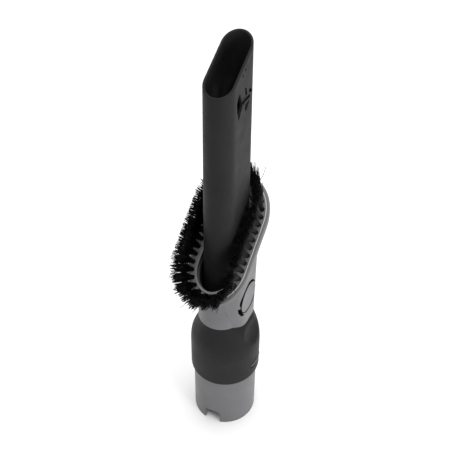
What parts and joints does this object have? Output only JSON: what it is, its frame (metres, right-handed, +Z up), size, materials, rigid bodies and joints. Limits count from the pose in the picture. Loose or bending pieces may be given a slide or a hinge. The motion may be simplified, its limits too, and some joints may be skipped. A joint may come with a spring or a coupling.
{
  "type": "combination crevice and dusting brush tool",
  "caption": "Flat crevice nozzle with a slanted mouth, a sliding collar that carries a slanted ring of bristles, a release button and a round connector tube.",
  "frame": {"origin": "centre of the connector tube's open end, on which the tool stands", "axes": "+Z up the tool towards the mouth; +X towards the high side of the slanted mouth and brush ring; the release button is on -Y"},
  "size_m": [0.0672, 0.0392, 0.2454],
  "materials": {
    "dark_plastic": "satin moulded, fine grain",
    "grey_plastic": "satin moulded, fine grain",
    "bristle": "soft nylon filament bundles",
    "steel_wire": "drawn wire",
    "spring_steel": "rolled strip",
    "rubber": "moulded ring"
  },
  "bodies": {
    "nozzle": {"crevice_nozzle": "dark_plastic", "connector_tube": "grey_plastic", "tube_seal": "rubber"},
    "brush_head": {"collar_shell": "grey_plastic", "brush_plate": "grey_plastic", "tuft_staples": "steel_wire", "pivot_pin": "steel_wire", "return_spring": "spring_steel", "tuft_01": "bristle", "tuft_02": "bristle", "tuft_03": "bristle", "tuft_04": "bristle", "tuft_05": "bristle", "tuft_06": "bristle", "tuft_07": "bristle", "tuft_08": "bristle", "tuft_09": "bristle", "tuft_10": "bristle", "tuft_11": "bristle", "tuft_12": "bristle", "tuft_13": "bristle", "tuft_14": "bristle", "tuft_15": "bristle", "tuft_16": "bristle", "tuft_17": "bristle", "tuft_18": "bristle", "tuft_19": "bristle", "tuft_20": "bristle", "tuft_21": "bristle", "tuft_22": "bristle", "tuft_23": "bristle", "tuft_24": "bristle", "tuft_25": "bristle", "tuft_26": "bristle", "tuft_27": "bristle", "tuft_28": "bristle", "tuft_29": "bristle", "tuft_30": "bristle", "tuft_31": "bristle", "tuft_32": "bristle", "tuft_33": "bristle", "tuft_34": "bristle", "tuft_35": "bristle", "tuft_36": "bristle"},
    "button": {"release_button": "grey_plastic"}
  },
  "joints": [
    {"name": "collar_slide", "type": "slide", "parent": "nozzle", "child": "brush_head", "axis": [0, 0, 1], "range_m": [0, 0.105]},
    {"name": "button_press", "type": "hinge", "parent": "brush_head", "child": "button", "pos_m": [-0.0032, -0.0113, 0.0998], "axis": [1, 0, 0], "range_deg": [0, 4], "stiffness_Nm_per_rad": 0.2, "deforming": ["return_spring"]}
  ]
}
